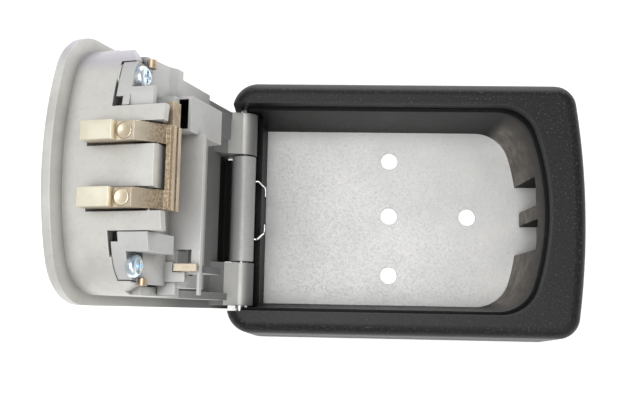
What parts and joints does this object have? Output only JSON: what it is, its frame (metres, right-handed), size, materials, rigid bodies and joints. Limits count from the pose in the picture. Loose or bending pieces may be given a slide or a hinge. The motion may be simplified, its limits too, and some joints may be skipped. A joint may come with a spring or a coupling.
{
  "type": "key lock box",
  "caption": "Wall-mounted key lock box: cast box, hinged cast door with combination dials, sliding weather shutter, rocking latch, steel back plate with screw holes.",
  "frame": {"origin": "centre of the back face that goes against the wall", "axes": "+Z out of the front, +X from the hinge end to the latch end (the upper end on a wall), Y across the width; the box lies on its back with the door open"},
  "size_m": [0.1458, 0.0838, 0.1182],
  "materials": {
    "black_coat": "fine speckled black powder coat",
    "galvanised": "light grey galvanised sheet",
    "cast_zinc": "satin light grey cast zinc",
    "brass": "champagne passivated, slightly worn",
    "steel": "bright drawn steel",
    "zinc_screw": "blue-white zinc plate",
    "black_plastic": "matt black moulded"
  },
  "bodies": {
    "box": {"housing": "black_coat", "back_plate": "galvanised", "back_plate_screws": "zinc_screw", "hinge_pin": "steel", "hinge_spring": "steel"},
    "door": {"door_shell": "cast_zinc", "lock_cover": "cast_zinc", "cover_screws": "zinc_screw", "cover_dowels": "brass", "shutter_rails": "cast_zinc", "dial_axle": "steel", "detent_spring": "steel", "latch_pin": "steel", "latch_spring": "steel", "release_spring": "steel"},
    "dial_set_1": {"dial_1": "black_plastic", "sleeve_1": "brass"},
    "dial_set_2": {"dial_2": "black_plastic", "sleeve_2": "brass"},
    "dial_set_3": {"dial_3": "black_plastic", "sleeve_3": "brass"},
    "dial_set_4": {"dial_4": "black_plastic", "sleeve_4": "brass"},
    "release": {"release_button": "black_plastic", "release_plate": "brass"},
    "latch": {"latch": "brass"},
    "reset_lever": {"reset_lever": "brass"},
    "shutter": {"weather_shutter": "black_plastic"}
  },
  "joints": [
    {"name": "door_hinge", "type": "hinge", "parent": "box", "child": "door", "pos_m": [-0.0521, 0, 0.0218], "axis": [0, -1, 0], "range_deg": [-105, 0]},
    {"name": "dial_1_spin", "type": "hinge", "parent": "door", "child": "dial_set_1", "pos_m": [-0.06784, -0.0129, 0.06935], "axis": [0, 1, 0], "continuous": true},
    {"name": "dial_2_spin", "type": "hinge", "parent": "door", "child": "dial_set_2", "pos_m": [-0.06784, -0.0043, 0.06935], "axis": [0, 1, 0], "continuous": true},
    {"name": "dial_3_spin", "type": "hinge", "parent": "door", "child": "dial_set_3", "pos_m": [-0.06784, 0.0043, 0.06935], "axis": [0, 1, 0], "continuous": true},
    {"name": "dial_4_spin", "type": "hinge", "parent": "door", "child": "dial_set_4", "pos_m": [-0.06784, 0.0129, 0.06935], "axis": [0, 1, 0], "continuous": true},
    {"name": "release_slide", "type": "slide", "parent": "door", "child": "release", "axis": [0.2588, 0, -0.9659], "range_m": [0, 0.0022], "stiffness_N_per_m": 400, "springref_m": -0.003},
    {"name": "latch_rock", "type": "hinge", "parent": "door", "child": "latch", "pos_m": [-0.06132, 0, 0.11106], "axis": [0, -1, 0], "range_deg": [0, 9], "stiffness_Nm_per_rad": 0.02, "springref_deg": -11.46},
    {"name": "reset_slide", "type": "slide", "parent": "door", "child": "reset_lever", "axis": [0, 1, 0], "range_m": [0, 0.0032]},
    {"name": "shutter_slide", "type": "slide", "parent": "door", "child": "shutter", "axis": [0.2588, 0, -0.9659], "range_m": [0, 0.038]}
  ],
  "couplings": [
    {"joint": "latch_rock", "follows": "release_slide", "rad_per_m": 71.3}
  ]
}
